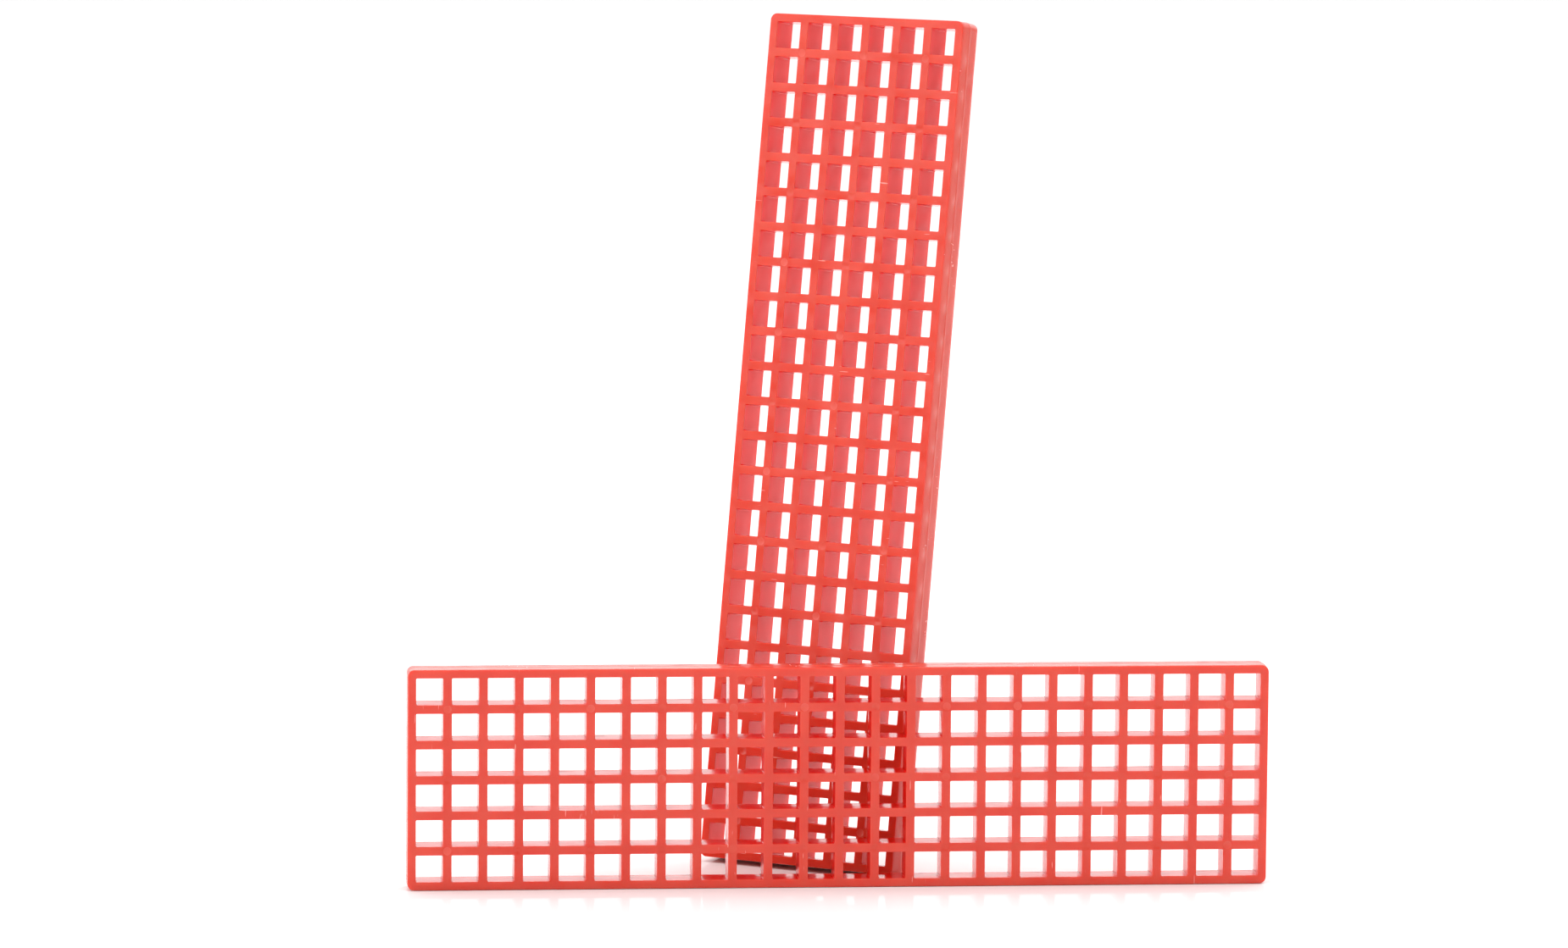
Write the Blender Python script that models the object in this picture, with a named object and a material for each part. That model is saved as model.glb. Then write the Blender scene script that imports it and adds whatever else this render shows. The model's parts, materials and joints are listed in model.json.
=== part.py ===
"""Queen excluder: two identical plastic grids, one lying on its long side and one standing behind it.

Each grid is one injection moulding, a rectangular frame crossed by bars that leave square cells. Worker
bees pass through a cell and a queen doesn't. The lying grid faces -Y. The standing grid is on its short
end, turned towards one side, and leans back on the edge between its foot and its back face.

Units are metres, +Z is up, and the ground is at Z = 0.
"""

import math

import bmesh
import bpy
from mathutils import Matrix, Vector

# One cell and the bars around it.
PITCH = 0.0058  # from one bar's centre to the next
PASSAGE = 0.00420  # narrowest width of a cell, at mid-depth: the queen-excluding gap
MOUTH = 0.00438  # width of a cell at either face, wider because each mould half needs draft
BAR = PITCH - MOUTH  # width of a bar, and of the frame's rim, at either face

# One grid. In its own frame X runs across it, Y from the front face to the back, and Z up.
LONG_CELLS = 24
SHORT_CELLS = 6
DEPTH = 0.00535
CORNER_RADIUS = 0.0011
CORNER_SEGMENTS = 4
LENGTH = LONG_CELLS * PITCH + BAR
WIDTH = SHORT_CELLS * PITCH + BAR

# The standing grid, set from the lying grid's left end and front face.
FOOT_LEFT = 0.0498  # left end of its foot's front edge, along X
FOOT_BACK = 0.0264  # the same point, along Y
TURN = math.radians(34.7)  # turned clockwise seen from above: its right side comes forwards
LEAN = math.radians(9.0)  # top tilted away from its own front face

PLASTIC = {"color": (0.83, 0.045, 0.028, 1.0), "roughness": 0.34, "metallic": 0.0}


def clear_scene():
    """Remove every object that the scene starts with."""
    for obj in list(bpy.data.objects):
        bpy.data.objects.remove(obj, do_unlink=True)


def bar_edges(cells):
    """Give the lines where bars and cells meet across one side: rim, cell, bar, cell, ... rim."""
    edges = [0.0]
    for cell in range(cells):
        edges += [cell * PITCH + BAR, (cell + 1) * PITCH]
    return edges + [cells * PITCH + BAR]


def is_cell(column, row):
    """Tell whether this patch between the bar edges is a cell. Patches 1, 3, 5 ... are, both ways."""
    return column % 2 == 1 and row % 2 == 1


def add_faces(bm, corners, across, up):
    """Cover the bars of one face, leaving the cells open. corners is the face's lattice of vertices."""
    for column in range(len(across) - 1):
        for row in range(len(up) - 1):
            if not is_cell(column, row):
                bm.faces.new(patch_ring(corners, column, row))


def add_band(bm, ring, next_ring):
    """Join two closed rings of vertices with a band of quads."""
    for index in range(len(ring)):
        after = (index + 1) % len(ring)
        bm.faces.new((ring[index], ring[after], next_ring[after], next_ring[index]))


def patch_ring(corners, column, row):
    """Give the four corners of one patch, in order."""
    return [corners[column][row], corners[column + 1][row],
            corners[column + 1][row + 1], corners[column][row + 1]]


def outline_ring(corners):
    """Give the vertices along a face's outer edge, in order."""
    bottom = [column[0] for column in corners]
    right = corners[-1][1:-1]
    top = [column[-1] for column in reversed(corners)]
    left = list(reversed(corners[0][1:-1]))
    return bottom + right + top + left


def waist_ring(bm, ring):
    """Make the narrow ring of one cell at mid-depth, drawn in evenly from its mouth."""
    inset = (MOUTH - PASSAGE) / 2
    centre = sum((vert.co for vert in ring), Vector()) / len(ring)
    made = []
    for vert in ring:
        side_x = math.copysign(inset, vert.co.x - centre.x)
        side_z = math.copysign(inset, vert.co.z - centre.z)
        made.append(bm.verts.new((vert.co.x - side_x, DEPTH / 2, vert.co.z - side_z)))
    return made


def grid_mesh(name, cells_across, cells_up):
    """Build one grid: two barred faces, four flat sides, and cells that narrow to a waist."""
    bm = bmesh.new()
    across = bar_edges(cells_across)
    up = bar_edges(cells_up)
    front = [[bm.verts.new((x, 0.0, z)) for z in up] for x in across]
    back = [[bm.verts.new((x, DEPTH, z)) for z in up] for x in across]
    add_faces(bm, front, across, up)
    add_faces(bm, back, across, up)
    add_band(bm, outline_ring(front), outline_ring(back))
    for column in range(len(across) - 1):
        for row in range(len(up) - 1):
            if is_cell(column, row):
                front_mouth = patch_ring(front, column, row)
                waist = waist_ring(bm, front_mouth)
                add_band(bm, front_mouth, waist)
                add_band(bm, waist, patch_ring(back, column, row))
    round_corners(bm, front, back)
    bmesh.ops.recalc_face_normals(bm, faces=bm.faces)
    mesh = bpy.data.meshes.new(name)
    bm.to_mesh(mesh)
    bm.free()
    return mesh


def round_corners(bm, front, back):
    """Round the frame's four outer corners, which run from the front face to the back."""
    edges = []
    for column in (0, -1):
        for row in (0, -1):
            edges.append(bm.edges.get((front[column][row], back[column][row])))
    bmesh.ops.bevel(bm, geom=edges, offset=CORNER_RADIUS, segments=CORNER_SEGMENTS,
                    profile=0.5, affect="EDGES", clamp_overlap=False)


def plastic_material():
    """Glossy red plastic, the same for both grids."""
    material = bpy.data.materials.new("red_plastic")
    material.use_nodes = True
    shader = material.node_tree.nodes["Principled BSDF"]
    shader.inputs["Base Color"].default_value = PLASTIC["color"]
    shader.inputs["Roughness"].default_value = PLASTIC["roughness"]
    shader.inputs["Metallic"].default_value = PLASTIC["metallic"]
    return material


def add_object(name, mesh, material, placement):
    """Put a mesh in the scene under its node's name."""
    mesh.materials.append(material)
    obj = bpy.data.objects.new(name, mesh)
    obj.matrix_world = placement
    bpy.context.scene.collection.objects.link(obj)
    return obj


def standing_place():
    """Place the standing grid so that the back edge of its foot is on the ground.

    Leaning about that edge keeps it at Y = DEPTH, Z = 0 of the grid's own frame. The turn and the step
    back then put the foot's front left corner where it belongs beside the lying grid.
    """
    heel = Matrix.Translation((0.0, DEPTH, 0.0))
    lean = heel @ Matrix.Rotation(-LEAN, 4, "X") @ heel.inverted()
    turn = Matrix.Rotation(-TURN, 4, "Z")
    corner = (turn @ lean) @ Vector((0.0, 0.0, 0.0))
    step = Matrix.Translation((FOOT_LEFT - corner.x, FOOT_BACK - corner.y, 0.0))
    return step @ turn @ lean


def reach_back(mesh, placement):
    """Give how far back a placed mesh reaches."""
    return max((placement @ vert.co).y for vert in mesh.vertices)


def build():
    """Make both grids around an origin at the middle of the space they stand on."""
    clear_scene()
    material = plastic_material()
    lying_mesh = grid_mesh("lying_grid", LONG_CELLS, SHORT_CELLS)
    standing_mesh = grid_mesh("standing_grid", SHORT_CELLS, LONG_CELLS)
    standing = standing_place()
    depth_used = reach_back(standing_mesh, standing)
    centre = Matrix.Translation((-LENGTH / 2, -depth_used / 2, 0.0))
    add_object("lying_grid", lying_mesh, material, centre)
    add_object("standing_grid", standing_mesh, material, centre @ standing)


build()
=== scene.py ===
# %% [markdown]
# # A pair of queen-excluder grids
# A queen excluder is a screen in a beehive. Its cells let worker bees through and hold the larger queen
# back. This one is a pair of identical red grids. One lies on its long side, and the other stands on its
# short end behind it and leans back. The measured model comes first, because every new piece takes its
# size and its place from it.

# %% Load the measured model
import json
import math

import bmesh
import bpy
from mathutils import Matrix, Vector


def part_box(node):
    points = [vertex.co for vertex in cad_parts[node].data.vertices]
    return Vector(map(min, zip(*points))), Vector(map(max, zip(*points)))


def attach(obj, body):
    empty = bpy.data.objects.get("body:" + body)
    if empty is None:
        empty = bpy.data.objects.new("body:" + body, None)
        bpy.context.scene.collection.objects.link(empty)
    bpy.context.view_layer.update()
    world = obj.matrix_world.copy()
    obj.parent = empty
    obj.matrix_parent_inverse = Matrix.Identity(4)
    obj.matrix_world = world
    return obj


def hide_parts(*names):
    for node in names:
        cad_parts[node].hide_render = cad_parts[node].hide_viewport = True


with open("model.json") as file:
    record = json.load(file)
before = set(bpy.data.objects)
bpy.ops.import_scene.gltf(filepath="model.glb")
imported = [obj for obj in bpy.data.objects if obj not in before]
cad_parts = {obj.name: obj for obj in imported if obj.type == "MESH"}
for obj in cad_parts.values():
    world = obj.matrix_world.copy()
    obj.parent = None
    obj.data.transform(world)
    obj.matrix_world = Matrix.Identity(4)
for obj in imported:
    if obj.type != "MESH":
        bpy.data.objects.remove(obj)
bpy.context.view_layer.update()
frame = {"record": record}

# %% [markdown]
# ## The grid's driving sizes
# A grid of 24 by 6 cells is 24 pitches and one bar long, and 6 pitches and one bar wide. So the pitch and
# the bar follow from the two outer sizes, and nothing has to be typed in twice. Only the waist of a cell
# is given here, because a box around the part can't show it: it is the gap that sorts the bees.

# %% Pitch, bar and depth from the lying grid
LONG_CELLS = 24
SHORT_CELLS = 6
PASSAGE = 0.0042

low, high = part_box("lying_grid")
LENGTH, DEPTH, WIDTH = high - low
PITCH = (LENGTH - WIDTH) / (LONG_CELLS - SHORT_CELLS)
BAR = WIDTH - SHORT_CELLS * PITCH
MOUTH = PITCH - BAR
WAIST_INSET = (MOUTH - PASSAGE) / 2
for label, size in (("pitch", PITCH), ("bar", BAR), ("mouth", MOUTH), ("depth", DEPTH)):
    print(f"{label} {size * 1000:.3f} mm")

# %% [markdown]
# ## The camera
# A long lens from about 1.3 m away flattens the pair, so the rows of cells stay almost parallel. The
# camera stands a little to the left, higher than the grids, and looks down on them. Its place is given in
# cell pitches from the lying grid's front left corner, so it would follow a change of scale.

# %% Camera
LENS = 184.35
SENSOR_WIDTH = 36.0
NEAREST, FARTHEST = 0.05, 50.0
STAND = (-10.91, -221.14, 38.68)
TURN, TILT, ROLL = 5.526, 6.923, 0.455


def add_camera(place, turn, tilt, roll):
    """Put a camera at place. turn is degrees to the right of +Y, and tilt is degrees downwards."""
    data = bpy.data.cameras.new("camera")
    data.sensor_width = SENSOR_WIDTH
    data.lens = LENS
    data.clip_start = NEAREST
    data.clip_end = FARTHEST
    camera = bpy.data.objects.new("camera", data)
    turned = Matrix.Rotation(math.radians(-turn), 4, "Z")
    tilted = Matrix.Rotation(math.radians(90 - tilt), 4, "X")
    rolled = Matrix.Rotation(math.radians(roll), 4, "Z")
    camera.matrix_world = Matrix.Translation(place) @ turned @ tilted @ rolled
    bpy.context.scene.collection.objects.link(camera)
    bpy.context.scene.camera = camera
    return camera


near_corner = Vector((low.x, low.y, 0.0))
camera = add_camera(near_corner + Vector(STAND) * PITCH, TURN, TILT, ROLL)
print("camera at", [round(part, 3) for part in camera.location], "lens", round(camera.data.lens, 1), "mm")

# %% [markdown]
# ## Objects and node trees
# Every piece below ends as a mesh in an object, and every finish and light is a tree of nodes. A few
# helpers keep each recipe short. One adds any node and fills its inputs, and the others are the handful of
# kinds that come up again and again.

# %% Object and node helpers
def new_object(name, mesh):
    """Put a mesh in the scene."""
    obj = bpy.data.objects.new(name, mesh)
    bpy.context.scene.collection.objects.link(obj)
    return obj


def add_node(tree, kind, inputs=None, **settings):
    """Add a node, set its properties, and fill its inputs with values or with other nodes' outputs."""
    node = tree.nodes.new(kind)
    for key, value in settings.items():
        setattr(node, key, value)
    for key, value in (inputs or {}).items():
        if isinstance(value, bpy.types.NodeSocket):
            tree.links.new(value, node.inputs[key])
        else:
            node.inputs[key].default_value = value
    return node


def maths(tree, operation, first, second=0.0):
    """Add a maths node and give its output."""
    return add_node(tree, "ShaderNodeMath", {0: first, 1: second}, operation=operation).outputs[0]


def times(tree, first, second):
    """Multiply two values."""
    return maths(tree, "MULTIPLY", first, second)


def ramp_up(tree, value, start, end):
    """Give 0 at start, 1 at end, and a straight line between. end may be below start."""
    inputs = {"Value": value, "From Min": start, "From Max": end}
    return add_node(tree, "ShaderNodeMapRange", inputs, clamp=True).outputs[0]


def noise(tree, place, scale, detail=2.0, roughness=0.5):
    """Add a noise texture with about scale features in a metre, and give its value."""
    inputs = {"Vector": place, "Scale": scale, "Detail": detail, "Roughness": roughness}
    return add_node(tree, "ShaderNodeTexNoise", inputs).outputs["Fac"]


def blend_colour(tree, factor, first, second):
    """Mix two colours and give the result."""
    node = add_node(tree, "ShaderNodeMix", {0: factor, 6: first, 7: second}, data_type="RGBA")
    return node.outputs[2]


def split_axes(tree, vector):
    """Give a vector's X, Y and Z outputs."""
    return add_node(tree, "ShaderNodeSeparateXYZ", {"Vector": vector}).outputs


def shader_of(material, values):
    """Give a new material's Principled shader, with values on its own sockets."""
    material.use_nodes = True
    shader = material.node_tree.nodes["Principled BSDF"]
    for socket, value in values.items():
        shader.inputs[socket].default_value = value
    return shader


print("helpers ready: object, node, maths, ramp, noise, colour mix")

# %% [markdown]
# ## The white table
# The pair stands on a plain white table with a thin clear finish, which shows a very faint red reflection.
# An ordinary glossy plane mirrors far too much at such a flat angle. So the base is matt, and a weak coat
# over it gives only a fraction of a full mirror.

# %% Floor
FLOOR_REACH = 6.0
FLOOR_FINISH = {
    "Base Color": (0.92, 0.92, 0.92, 1),
    "Roughness": 0.6,
    "Specular IOR Level": 0.0,
    "Coat Weight": 0.26,
    "Coat Roughness": 0.04,
}


def white_table():
    """Matt white under a weak clear coat."""
    material = bpy.data.materials.new("white_table")
    shader_of(material, FLOOR_FINISH)
    return material


def add_floor():
    """Put one large flat square at the height of the ground."""
    mesh = bpy.data.meshes.new("floor")
    bm = bmesh.new()
    bmesh.ops.create_grid(bm, x_segments=1, y_segments=1, size=FLOOR_REACH)
    bm.to_mesh(mesh)
    bm.free()
    mesh.materials.append(white_table())
    return new_object("floor", mesh)


floor = add_floor()
print("floor reaches", FLOOR_REACH, "m each way")

# %% [markdown]
# ## Studio light
# The room is a soft white tent: bright behind and above, and darker in front, where the camera stands.
# Glossy red plastic shows its shape by what it mirrors, so the tent isn't even all round. A dim line runs
# along the foot of the tent's back, and the narrow far half of each cell's floor mirrors it. A brighter
# panel on the left lights the side of the standing grid. It starts above the table, as a panel on a stand
# does. It is part of the tent and not a lamp, because its edge fades softly, and a lamp's reflection has a
# hard one.

# %% The tent's brightness, by height above the horizon
TENT_BEHIND = ((0.0, 0.6), (0.07, 0.6), (0.115, 1.55), (0.35, 1.55), (0.7, 1.12))
TENT_IN_FRONT = ((0.0, 0.42), (0.2, 0.42), (0.6, 1.12))
FRONT_TO_BACK = (-0.35, 0.2)


def grey_ramp(tree, value, stops):
    """Give a smooth grey that changes along value. stops are (position, brightness) pairs."""
    node = add_node(tree, "ShaderNodeValToRGB", {"Fac": value})
    elements = node.color_ramp.elements
    while len(elements) < len(stops):
        elements.new(0.5)
    for element, (position, brightness) in zip(elements, stops):
        element.position = position
        element.color = (brightness, brightness, brightness, 1)
    return node.outputs["Color"]


def tent_light(tree, axes):
    """Give the tent's own brightness: one ramp for the back, one for the front, and a soft change."""
    behind = grey_ramp(tree, axes["Z"], TENT_BEHIND)
    in_front = grey_ramp(tree, axes["Z"], TENT_IN_FRONT)
    return blend_colour(tree, ramp_up(tree, axes["Y"], *FRONT_TO_BACK), in_front, behind)


print("tent brightness in front", TENT_IN_FRONT[0][1], "and behind", TENT_BEHIND[2][1])

# %% The side panel, and the world
PANEL_BRIGHTNESS = 1.6
PANEL_WAY = (-0.887, -0.431, 0.167)
PANEL_EDGE = (0.8, 0.97)
PANEL_FOOT = (0.14, 0.21)


def panel_light(tree, way, axes):
    """Give the brightness of a round panel around one direction, faded out towards its foot."""
    dot = add_node(tree, "ShaderNodeVectorMath", {0: way, 1: PANEL_WAY}, operation="DOT_PRODUCT")
    panel = times(tree, ramp_up(tree, dot.outputs["Value"], *PANEL_EDGE), PANEL_BRIGHTNESS)
    return times(tree, ramp_up(tree, axes["Z"], *PANEL_FOOT), panel)


def add_tent():
    """Light the scene from every direction."""
    world = bpy.data.worlds.new("tent")
    world.use_nodes = True
    tree = world.node_tree
    way = add_node(tree, "ShaderNodeTexCoord").outputs["Generated"]
    axes = split_axes(tree, way)
    parts = {0: tent_light(tree, axes), 1: panel_light(tree, way, axes)}
    light = add_node(tree, "ShaderNodeVectorMath", parts, operation="ADD").outputs[0]
    tree.links.new(light, tree.nodes["Background"].inputs["Color"])
    bpy.context.scene.world = world
    return world


print("world:", add_tent().name)

# %% [markdown]
# ### Lamps
# The tent alone leaves the pair looking weightless, because light from all round makes hardly any shadow.
# Two large square lamps add the faint shadows under the grids: one above, and a weak one low in front.
# Area lamps are used because their size sets how soft a shadow is.

# %% Lamps
LAMPS_AIM = (0.0, 0.0, 0.05)


def add_softbox(name, place, size, watts):
    """Add a square area light at place, facing the pair."""
    data = bpy.data.lights.new(name, "AREA")
    data.shape = "SQUARE"
    data.size = size
    data.energy = watts
    lamp = bpy.data.objects.new(name, data)
    lamp.location = place
    lamp.rotation_euler = (Vector(LAMPS_AIM) - Vector(place)).to_track_quat("-Z", "Y").to_euler()
    bpy.context.scene.collection.objects.link(lamp)
    print(name, "gives", watts, "W from", place)


add_softbox("front_lamp", place=(-0.5, -1.1, 0.35), size=0.6, watts=2.0)
add_softbox("top_lamp", place=(0.2, 0.2, 1.4), size=1.2, watts=8.0)
bpy.context.scene.view_settings.view_transform = "Standard"

# %% [markdown]
# ## Red moulded plastic
# The grids are one shot of red plastic, glossy but not polished. Light goes in at one side of a thin bar
# and comes out at the other, so there is some subsurface scattering, and the bars glow. The colour drifts
# a little, and handling leaves a few pale scuffs and scratches. These marks belong to the moulding and
# not to the room, so each grid carries its own coordinates as an attribute, `own`, that turns with it.

# %% Colours of the plastic
RED = (0.69, 0.072, 0.042, 1)
RED_DEEP = (0.66, 0.055, 0.030, 1)
# painted light: the cells' walls get a brighter, purer red, standing in for light glowing through the thin
# walls
WALL_GLOW_PAINT = (0.83, 0.014, 0.009, 1)
PIN_PALE = (0.80, 0.17, 0.13, 1)
# painted highlight: a paler patch on each sink mark stands in for the glint the dents catch
SINK_HIGHLIGHT_PAINT = (0.84, 0.26, 0.22, 1)
SCUFF_PALE = (0.90, 0.48, 0.42, 1)
for label, colour in (("sides", RED), ("cell walls", WALL_GLOW_PAINT), ("scuffs", SCUFF_PALE)):
    print(label, "red, green, blue:", colour[:3])

# %% [markdown]
# ### Ejector-pin marks
# Pins push a moulding out of its mould, and each leaves a disc on a crossing of two bars. Here they sit on
# every second crossing both ways, on one face only. The dimples come later as geometry. The finish adds
# what a pin does to the surface: paler, duller plastic. A random number for each pin makes it stronger
# under some pins than others, and under one in five there is no mark at all.

# %% Pin discs
PIN_SPACING = 2 * PITCH
PIN_MARK = 0.00070
PIN_CRISPNESS = 0.92
PINS_WITHOUT_A_MARK = 0.2
FRONT_FACE = (-0.45 * DEPTH, -0.48 * DEPTH)


def to_pin(tree, phase):
    """Give the number of the pin nearest along one axis, and how far off it is. phase is in spacings."""
    number = maths(tree, "FLOOR", phase)
    offset = maths(tree, "SUBTRACT", maths(tree, "SUBTRACT", phase, number), 0.5)
    return number, times(tree, offset, PIN_SPACING)


def pin_discs(tree, own):
    """Give 0 off the pin discs, and each disc's own strength, up to 1, on it."""
    axes = split_axes(tree, own)
    column, across = to_pin(tree, maths(tree, "DIVIDE", axes["X"], PIN_SPACING))
    row, upward = to_pin(tree, maths(tree, "DIVIDE", maths(tree, "ADD", axes["Z"], PITCH), PIN_SPACING))
    squares = maths(tree, "ADD", times(tree, across, across), times(tree, upward, upward))
    distance = maths(tree, "SQRT", squares)
    label = add_node(tree, "ShaderNodeCombineXYZ", {"X": column, "Y": row}).outputs[0]
    chance = add_node(tree, "ShaderNodeTexWhiteNoise", {"Vector": label}).outputs["Value"]
    strength = ramp_up(tree, chance, PINS_WITHOUT_A_MARK, 1.0)
    strength = times(tree, strength, ramp_up(tree, axes["Y"], *FRONT_FACE))
    return times(tree, ramp_up(tree, distance, PIN_MARK, PIN_MARK * PIN_CRISPNESS), strength)


print(f"pin discs are {2 * PIN_MARK * 1000:.1f} mm across and {PIN_SPACING * 1000:.1f} mm apart")

# %% [markdown]
# ### Scuffs, scratches and clean walls
# The pale marks are the peaks of two noises. One is fine and even, for specks. The other is stretched
# tenfold along a slant, so its peaks are short scratches, and a third noise keeps them to a few patches.
# Hands and other grids rub the faces and the outer sides only, so a mask leaves the marks off the walls
# of the cells.

# %% Masks for wear
SPECK_SCALE = 1500.0
SPECK_PEAKS = (0.735, 0.77)
SCRATCH_SLANT = (0.0, 0.6, 0.0)
SCRATCH_STRETCH = (1.0, 0.3, 0.1)
SCRATCH_SCALE = 2600.0
SCRATCH_PEAKS = (0.70, 0.74)
PATCH_SCALE = 110.0
PATCH_PEAKS = (0.56, 0.62)
RUB_STARTS = 0.0004
RUB_FULL = 0.0002


def speck_mask(tree, own):
    """Small pale specks: the peaks of a fine noise."""
    return ramp_up(tree, noise(tree, own, SPECK_SCALE, detail=5.0, roughness=0.7), *SPECK_PEAKS)


def scratch_mask(tree, own):
    """Short slanting scratches: the peaks of a stretched noise, kept to a few patches."""
    stretched = {"Vector": own, "Rotation": SCRATCH_SLANT, "Scale": SCRATCH_STRETCH}
    slant = add_node(tree, "ShaderNodeMapping", stretched).outputs[0]
    lines = ramp_up(tree, noise(tree, slant, SCRATCH_SCALE, detail=1.0), *SCRATCH_PEAKS)
    patches = ramp_up(tree, noise(tree, own, PATCH_SCALE, detail=1.0), *PATCH_PEAKS)
    return times(tree, lines, patches)


def outside_mask(tree, own):
    """Give 1 on the faces and the outer sides, and 0 on the walls of the cells."""
    axes = split_axes(tree, own)
    reach = []
    for axis, size in (("X", LENGTH), ("Y", DEPTH), ("Z", WIDTH)):
        away = maths(tree, "ABSOLUTE", axes[axis])
        reach.append(ramp_up(tree, away, size / 2 - RUB_STARTS, size / 2 - RUB_FULL))
    return maths(tree, "MAXIMUM", maths(tree, "MAXIMUM", reach[0], reach[1]), reach[2])


print(f"wear stops {RUB_STARTS * 1000:.1f} mm inside the outer surfaces")

# %% [markdown]
# ### Colour, gloss and ripple
# Five things are layered on the red. A slow drift of pigment comes first. Over it comes a brighter, purer
# red on the cells' walls. This is painted light that stands in for the glow of light shining through the
# thin walls, and the scuffs stay off it. Then come the pin discs, then a painted highlight on each sink
# mark, standing in for the glint the dents catch, which an attribute, `sunk`, marks out, and the scuffs
# last. The same masks drive the roughness, because a scuff is dull. A slow ripple and a fine grain in the
# bump break up the reflections, as a mould's own polish does.

# %% Layers of the finish
PIN_SHOWS = 0.45
# how strongly the painted sink highlight shows
SINK_HIGHLIGHT_SHOWS = 0.5
MARKS_SHOW = 0.65
GLOSS_ROUGHNESS = 0.13
DRIFT_ROUGHNESS = 0.05
DULL_ROUGHNESS = 0.3
RIPPLE_SCALE, RIPPLE_HEIGHT = 260.0, 8.0
GRAIN_SCALE, GRAIN_HEIGHT = 9000.0, 0.12
BUMP_HEIGHT = 0.00002


def plastic_colour(tree, drift, outside, disc, marks):
    """Layer the colours, from the pigment up to the scuffs."""
    colour = blend_colour(tree, drift, RED_DEEP, RED)
    # painted light: the brighter wall red, a painted glow, goes on the cells' walls
    colour = blend_colour(tree, outside, WALL_GLOW_PAINT, colour)
    colour = blend_colour(tree, times(tree, disc, PIN_SHOWS), colour, PIN_PALE)
    # painted highlight on each sink mark, placed by the sink share stored in the sunk attribute
    sunk = add_node(tree, "ShaderNodeAttribute", attribute_name="sunk").outputs["Fac"]
    colour = blend_colour(tree, times(tree, sunk, SINK_HIGHLIGHT_SHOWS), colour, SINK_HIGHLIGHT_PAINT)
    return blend_colour(tree, times(tree, marks, MARKS_SHOW), colour, SCUFF_PALE)


def plastic_roughness(tree, drift, disc, marks):
    """Give a gloss that drifts with the pigment and is duller on pins and scuffs."""
    rough = maths(tree, "ADD", times(tree, drift, DRIFT_ROUGHNESS), GLOSS_ROUGHNESS)
    dull = times(tree, maths(tree, "MAXIMUM", disc, marks), DULL_ROUGHNESS)
    return maths(tree, "ADD", rough, dull)


def mould_ripple(tree, own):
    """Give a normal with a slow ripple and a fine grain."""
    ripple = times(tree, noise(tree, own, RIPPLE_SCALE, detail=1.0), RIPPLE_HEIGHT)
    grain = times(tree, noise(tree, own, GRAIN_SCALE), GRAIN_HEIGHT)
    height = maths(tree, "ADD", ripple, grain)
    inputs = {"Height": height, "Distance": BUMP_HEIGHT, "Strength": 1.0}
    return add_node(tree, "ShaderNodeBump", inputs).outputs["Normal"]


print("roughness from", GLOSS_ROUGHNESS, "to", GLOSS_ROUGHNESS + DRIFT_ROUGHNESS + DULL_ROUGHNESS)

# %% [markdown]
# ### The whole finish
# One material serves both grids. Whatever is the same all over, such as how far light travels inside the
# plastic, is set on the shader's own sockets, and only the layers above reach it through nodes. Red light
# travels 1.5 mm inside it, and green and blue 0.2 mm or less, so thin bars glow a deeper red.

# %% Plastic
DRIFT_SCALE = 130.0
DRIFT_RANGE = (0.35, 0.65)
PLASTIC_BODY = {
    "IOR": 1.5,
    "Specular IOR Level": 0.4,
    "Subsurface Weight": 0.85,
    "Subsurface Radius": (1.0, 0.15, 0.08),
    "Subsurface Scale": 0.0015,
}


def red_plastic():
    """Glossy red plastic with pin marks, scuffs and a slight drift of colour."""
    material = bpy.data.materials.new("red_moulded_plastic")
    shader = shader_of(material, PLASTIC_BODY)
    tree = material.node_tree
    own = add_node(tree, "ShaderNodeAttribute", attribute_name="own").outputs["Vector"]
    drift = ramp_up(tree, noise(tree, own, DRIFT_SCALE, detail=3.0), *DRIFT_RANGE)
    disc = pin_discs(tree, own)
    outside = outside_mask(tree, own)
    marks = times(tree, maths(tree, "MAXIMUM", speck_mask(tree, own), scratch_mask(tree, own)), outside)
    tree.links.new(plastic_colour(tree, drift, outside, disc, marks), shader.inputs["Base Color"])
    tree.links.new(plastic_roughness(tree, drift, disc, marks), shader.inputs["Roughness"])
    tree.links.new(mould_ripple(tree, own), shader.inputs["Normal"])
    return material


plastic = red_plastic()
print("material", plastic.name, "with", len(plastic.node_tree.nodes), "nodes")

# %% [markdown]
# ## The cage of one grid
# One grid could be a plate with 144 boxes cut out by a Boolean, but that leaves long thin faces. Here it is
# a lattice: the edges of all the bars cut each face into patches, and every patch that isn't a cell gets a
# face. Each cell is a tube of two tapers that meet at the waist, because each half of the mould needs a
# draft angle to let go. The moulding's own frame has X along it, Y from its front face to its back, and
# Z up, all from the moulding's middle.

# %% Lattice helpers
CROWN = 0.00008


def bar_lines(cells):
    """Give the edges of the bars across one side, centred: rim, cell, bar, cell, ... rim."""
    half = (cells * PITCH + BAR) / 2
    lines = [CROWN - half]
    for cell in range(cells):
        lines += [cell * PITCH + BAR - half, (cell + 1) * PITCH - half]
    return lines + [half - CROWN]


def patch_ring(face, column, row):
    """Give the four corners of one patch of a face, in order."""
    return [face[column][row], face[column + 1][row], face[column + 1][row + 1], face[column][row + 1]]


def add_band(bm, ring, following):
    """Join two closed rings of vertices with quads."""
    for index in range(len(ring)):
        after = (index + 1) % len(ring)
        bm.faces.new((ring[index], ring[after], following[after], following[index]))


def outline(face):
    """Give the vertices along a face's outer edge, in order."""
    bottom = [column[0] for column in face]
    top = [column[-1] for column in reversed(face)]
    return bottom + face[-1][1:-1] + top + list(reversed(face[0][1:-1]))


patches = [len(bar_lines(cells)) - 1 for cells in (LONG_CELLS, SHORT_CELLS)]
print("bars cut a face into", patches[0], "by", patches[1], "patches")

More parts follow.
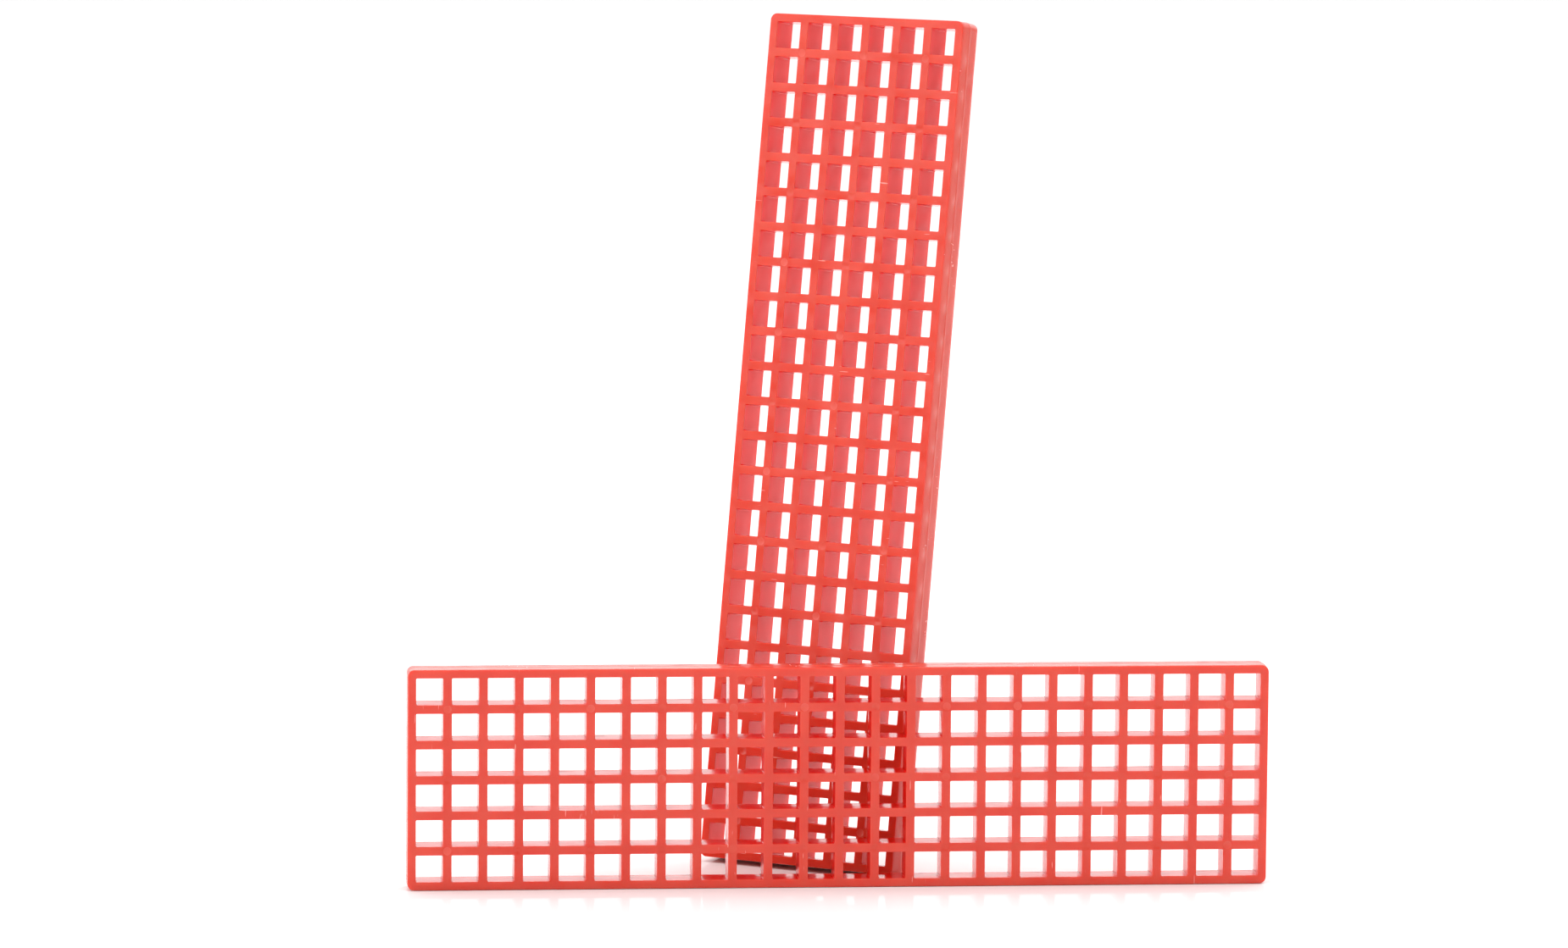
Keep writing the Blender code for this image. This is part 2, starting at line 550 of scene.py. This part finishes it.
# %% [markdown]
# ### Dimples for pins and gates
# A pin mark is a shallow round dimple. It is cut into the lattice as it is built: four flat faces fill the
# space from the square patch to a circle, and rings step down inside it. A gate, where the plastic came
# in, is a deeper dimple with the stub of the sprue in its middle. The gates are put on the back face.

# %% Dimple profiles
DIMPLE_SIDES = 16
FIRST_CORNER = 225
PIN_RADIUS = 0.00062
PIN_STEPS = ((PIN_RADIUS, 0.0), (0.88 * PIN_RADIUS, 0.00003))
GATE_STEPS = ((0.00062, 0.0), (0.00050, 0.00006), (0.00030, 0.00006), (0.00020, 0.00001))
GATE_BARS = ((8, 3), (16, 3))


def circle_ring(bm, middle, radius, depth):
    """Make one ring of a dimple. It starts towards the patch's first corner."""
    ring = []
    for index in range(DIMPLE_SIDES):
        angle = math.radians(FIRST_CORNER + 360 * index / DIMPLE_SIDES)
        sunk = middle.y - math.copysign(depth, middle.y)
        place = (middle.x + radius * math.cos(angle), sunk, middle.z + radius * math.sin(angle))
        ring.append(bm.verts.new(place))
    return ring


def add_dimple(bm, square, steps):
    """Fill a square patch with a round dimple. steps are (radius, depth) pairs from the rim inwards."""
    middle = sum((vert.co for vert in square), Vector()) / 4
    rings = [circle_ring(bm, middle, radius, depth) for radius, depth in steps]
    quarter = DIMPLE_SIDES // 4
    for side in range(4):
        arc = [rings[0][(side * quarter + step) % DIMPLE_SIDES] for step in range(quarter, -1, -1)]
        bm.faces.new([square[side], square[(side + 1) % 4]] + arc)
    for ring, following in zip(rings, rings[1:]):
        add_band(bm, ring, following)
    bm.faces.new(rings[-1])


def is_pin(column, row):
    """Tell whether a front patch is the crossing of two odd bars, counting inner bars from 1."""
    return column % 4 == 2 and row % 4 == 2


def is_gate(column, row):
    """Tell whether a back patch carries a gate."""
    return (column / 2, row / 2) in GATE_BARS


print("a pin dimple is", round(PIN_STEPS[-1][1] * 1e6), "micrometres deep")

# %% [markdown]
# ### The outer sides
# The four outer sides aren't quite flat. They swell by a few hundredths of a millimetre towards mid-depth,
# where the two halves of the mould meet and leave a fine raised line. Rings of vertices at set levels from
# front to back follow that curve. They stand close together at the middle, so the line stays thin.

# %% Side levels
SIDE_LEVELS = (-1.0, -0.7, -0.45, -0.2, -0.03, 0.0, 0.03, 0.2, 0.45, 0.7, 1.0)
FLASH = 0.00002
RIM_REACH = 2 * CROWN


def side_place(point, level):
    """Give where the outer side is at a level: -1 front, 0 the parting line at mid-depth, 1 back.

    The sides swell by CROWN towards mid-depth, and the flash at the parting line stands proud of that.
    """
    swell = CROWN - FLASH
    if level == 0:
        swell = CROWN
    out = swell * (1 - abs(level))
    place = Vector((point.x, level * DEPTH / 2, point.z))
    if abs(point.x) > LENGTH / 2 - RIM_REACH:
        place.x += math.copysign(out, point.x)
    if abs(point.z) > WIDTH / 2 - RIM_REACH:
        place.z += math.copysign(out, point.z)
    return place


print("outer sides have", len(SIDE_LEVELS), "rings of vertices from front to back")

# %% [markdown]
# ### The cells
# A cell's walls draw in from both faces to the waist, 0.09 mm on each side. It is little enough to look
# straight from the front, but it makes each wall two facets that mirror different parts of the room, and
# that is why a cell's floor looks bright in its near half and grey in its far half.

# %% Build the cage
def add_cell(bm, near, far):
    """Join the cell's mouths through a narrower waist."""
    middle = sum((vert.co for vert in near), Vector()) / 4
    waist = []
    for vert in near:
        x = vert.co.x - math.copysign(WAIST_INSET, vert.co.x - middle.x)
        z = vert.co.z - math.copysign(WAIST_INSET, vert.co.z - middle.z)
        waist.append(bm.verts.new((x, 0.0, z)))
    add_band(bm, near, waist)
    add_band(bm, waist, far)


def add_bars(bm, near, far, column, row):
    """Cover one patch of the front face and of the back face, with a dimple where there is one."""
    if is_pin(column, row):
        add_dimple(bm, near, PIN_STEPS)
    else:
        bm.faces.new(near)
    if is_gate(column, row):
        add_dimple(bm, far, GATE_STEPS)
    else:
        bm.faces.new(far)


def add_sides(bm, front, back):
    """Join the two faces around the outside, ring by ring."""
    rings = [outline(front)]
    for level in SIDE_LEVELS[1:-1]:
        rings.append([bm.verts.new(side_place(vert.co, level)) for vert in rings[0]])
    rings.append(outline(back))
    for ring, following in zip(rings, rings[1:]):
        add_band(bm, ring, following)


def grid_cage():
    """Build one grid as a cage with sharp edges."""
    bm = bmesh.new()
    across = bar_lines(LONG_CELLS)
    up = bar_lines(SHORT_CELLS)
    front = [[bm.verts.new((x, -DEPTH / 2, z)) for z in up] for x in across]
    back = [[bm.verts.new((x, DEPTH / 2, z)) for z in up] for x in across]
    add_sides(bm, front, back)
    for column in range(len(across) - 1):
        for row in range(len(up) - 1):
            near = patch_ring(front, column, row)
            far = patch_ring(back, column, row)
            if column % 2 and row % 2:
                add_cell(bm, near, far)
            else:
                add_bars(bm, near, far, column, row)
    bmesh.ops.recalc_face_normals(bm, faces=bm.faces)
    return bm


cage = grid_cage()
print("cage:", len(cage.verts), "vertices,", len(cage.faces), "faces")

# %% [markdown]
# ## Round corners
# The four outer corners have a radius of about a millimetre, so the grid slides into a hive without
# catching. The corners inside a cell are nearly sharp. Both are bevels of edges that run through the
# moulding from front to back, so one helper finds those edges, and their place tells the two kinds apart.

# %% Round the corners that run front to back
OUTER_RADIUS = 0.0011
CELL_RADIUS = 0.00012


def sides_at(place):
    """Count the outer sides that a place is on: 0 inside the grid, 1 on a side, 2 at a corner."""
    return (abs(place.x) > LENGTH / 2 - BAR / 2) + (abs(place.z) > WIDTH / 2 - BAR / 2)


def through_edges(bm, sides):
    """Find the edges that run from front to back on this many outer sides."""
    found = []
    for edge in bm.edges:
        run = edge.verts[1].co - edge.verts[0].co
        middle = (edge.verts[0].co + edge.verts[1].co) / 2
        if abs(run.y) > 2 * max(abs(run.x), abs(run.z)) and sides_at(middle) == sides:
            found.append(edge)
    return found


def round_edges(bm, edges, radius, segments):
    """Round edges with a bevel."""
    bmesh.ops.bevel(bm, geom=edges, offset=radius, segments=segments, profile=0.5,
                    affect="EDGES", clamp_overlap=False)


round_edges(cage, through_edges(cage, sides=2), OUTER_RADIUS, 6)
round_edges(cage, through_edges(cage, sides=0), CELL_RADIUS, 2)
print("rounded cage:", len(cage.verts), "vertices,", len(cage.faces), "faces")

# %% [markdown]
# ## Sink marks
# Plastic shrinks as it cools, and most where it is thickest. So each outer side is drawn in a few hundredths
# of a millimetre where a bar meets it from inside, and those marks catch the light as a row of soft spots.
# The finish also adds a painted highlight on each mark.
# The sides are cut finer first, and then their vertices are moved in. A bump in the finish would do from
# straight on, but real dents also show along the outline.

# %% Cut the sides finer
SIDE_CUTS = ((0.003, 1.0, 10), (0.0011, 0.003, 3))
FLAT = 1e-6


def on_rim(place):
    """Tell whether a place is within the swell of an outer side."""
    return abs(place.x) > LENGTH / 2 - RIM_REACH or abs(place.z) > WIDTH / 2 - RIM_REACH


def refine_sides(bm):
    """Cut the long edges around the outer sides. SIDE_CUTS gives (shortest, longest, cuts), in metres."""
    for shortest, longest, cuts in SIDE_CUTS:
        edges = []
        for edge in bm.edges:
            run = edge.verts[1].co - edge.verts[0].co
            around = abs(run.y) < FLAT and shortest < run.length < longest
            if around and all(on_rim(vert.co) for vert in edge.verts):
                edges.append(edge)
        bmesh.ops.subdivide_edges(bm, edges=edges, cuts=cuts, use_grid_fill=True)


refine_sides(cage)
print("finer sides:", len(cage.verts), "vertices,", len(cage.faces), "faces")

# %% Sink the sides behind each bar
SINK_DEPTH = 0.00008
SINK_ALONG = 0.00100
SINK_THROUGH = 0.00060
SINK_FORWARD = 0.00050
FACE_STARTS = 0.49 * DEPTH


def from_bar(along, bars):
    """Give the distance to the nearest of the inner bars that end on this side."""
    number = round(along / PITCH + (bars + 1) / 2)
    nearest = min(max(number, 1), bars)
    return along - (nearest - (bars + 1) / 2) * PITCH


def sink_share(place):
    """Give how far a place is drawn in, from 0 to 1: most behind a bar, a little before mid-depth."""
    if not on_rim(place) or abs(place.y) > FACE_STARTS:
        return 0.0
    if abs(place.z) > WIDTH / 2 - RIM_REACH:
        off_bar = from_bar(place.x, LONG_CELLS - 1)
    else:
        off_bar = from_bar(place.z, SHORT_CELLS - 1)
    return math.exp(-(off_bar / SINK_ALONG) ** 2 - ((place.y + SINK_FORWARD) / SINK_THROUGH) ** 2)


def sink_sides(bm):
    """Draw each place on the outer sides in by its share of the full depth."""
    for vert in bm.verts:
        drawn = SINK_DEPTH * sink_share(vert.co)
        if abs(vert.co.z) > WIDTH / 2 - RIM_REACH:
            vert.co.z -= math.copysign(drawn, vert.co.z)
        else:
            vert.co.x -= math.copysign(drawn, vert.co.x)


sink_sides(cage)
print("sink marks at both ends of", LONG_CELLS + SHORT_CELLS - 2, "bars, deep in mm:", SINK_DEPTH * 1000)

# %% [markdown]
# ## Soft edges
# No moulded edge is perfectly sharp, and a thin bright line along each bar is what makes plastic look real.
# A Bevel modifier rounds every edge that turns more than 40 degrees. The dimples and the sink marks are far
# gentler than that, so it leaves them alone. Its result is baked in once, and both grids are copies of it.

# %% Make the moulding
EDGE_RADIUS = 0.00008
SHARP_TURN = 40


def applied(obj):
    """Give the mesh that an object's modifiers make, and remove the object."""
    graph = bpy.context.evaluated_depsgraph_get()
    mesh = bpy.data.meshes.new_from_object(obj.evaluated_get(graph))
    bpy.data.objects.remove(obj, do_unlink=True)
    return mesh


def softened(bm):
    """Turn the cage into a mesh with rounded edges."""
    mesh = bpy.data.meshes.new("grid_cage")
    bm.to_mesh(mesh)
    bm.free()
    moulding = new_object("moulding", mesh)
    soften = moulding.modifiers.new("soft_edges", "BEVEL")
    soften.width = EDGE_RADIUS
    soften.segments = 2
    soften.limit_method = "ANGLE"
    soften.angle_limit = math.radians(SHARP_TURN)
    soften.use_clamp_overlap = False
    return applied(moulding)


moulding_mesh = softened(cage)
print("moulding:", len(moulding_mesh.polygons), "faces")

# %% [markdown]
# ## Two grids from one mould
# Both grids came out of the same mould, so each is a copy of one mesh. The record says where each front
# face is and which way it looks, and that gives the matrix for each copy. The place goes into the mesh and
# the object stays at the origin. A live Weighted Normal modifier keeps the flat faces flat in the shading,
# while the small rounds at their edges stay smooth.

# %% Find each moulding's place
def own_place(mount, long_up):
    """Give the matrix that carries a moulding from its own frame to a front face in the record."""
    face = next(entry for entry in frame["record"]["mounts"] if entry["name"] == mount)
    through = -Vector(face["axis"]).normalized()
    level = through.cross(Vector((0, 0, 1))).normalized()
    upright = level.cross(through)
    turn = Matrix((level, through, upright)).transposed().to_4x4()
    middle = Vector(face["pos_m"]) + through * DEPTH / 2
    roll = Matrix.Identity(4)
    if long_up:
        roll = Matrix.Rotation(math.radians(-90), 4, "Y")
    return Matrix.Translation(middle) @ turn @ roll


for mount in ("lying_front_face", "standing_front_face"):
    middle = own_place(mount, long_up=False).translation * 1000
    print(mount, "belongs to a moulding whose middle is at", [round(part, 1) for part in middle], "mm")

# %% [markdown]
# ### What each copy carries
# Each copy keeps two attributes for the finish: `own`, the place of each vertex in the moulding's own frame,
# and `sunk`, how far it was drawn in. They are stored before the mesh is moved. The first is filled before
# the second is added, because adding an attribute moves the others in memory, and an older handle to one
# then writes nowhere.

# %% Place the two mouldings
def store_own_frame(mesh):
    """Store each vertex's place and its sink share, in the moulding's own frame."""
    own = mesh.attributes.new("own", "FLOAT_VECTOR", "POINT")
    for index, vert in enumerate(mesh.vertices):
        own.data[index].vector = vert.co
    # the sink share also places the painted highlight on each sink mark in the finish
    sunk = mesh.attributes.new("sunk", "FLOAT", "POINT")
    for index, vert in enumerate(mesh.vertices):
        sunk.data[index].value = sink_share(vert.co)


def add_moulding(node, body, mount, long_up):
    """Place one copy of the moulding where its plain solid is."""
    mesh = moulding_mesh.copy()
    store_own_frame(mesh)
    mesh.transform(own_place(mount, long_up))
    mesh.shade_smooth()
    mesh.materials.clear()
    mesh.materials.append(plastic)
    piece = new_object(node + "_moulding", mesh)
    flatten = piece.modifiers.new("flat_faces", "WEIGHTED_NORMAL")
    flatten.keep_sharp = True
    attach(piece, body)
    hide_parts(node)
    return piece


lying = add_moulding("lying_grid", "lying", "lying_front_face", long_up=False)
standing = add_moulding("standing_grid", "standing", "standing_front_face", long_up=True)
for piece in (lying, standing):
    corners = [Vector(corner) * 1000 for corner in piece.bound_box]
    print(piece.name, [round(part, 2) for part in corners[0]], [round(part, 2) for part in corners[6]], "mm")
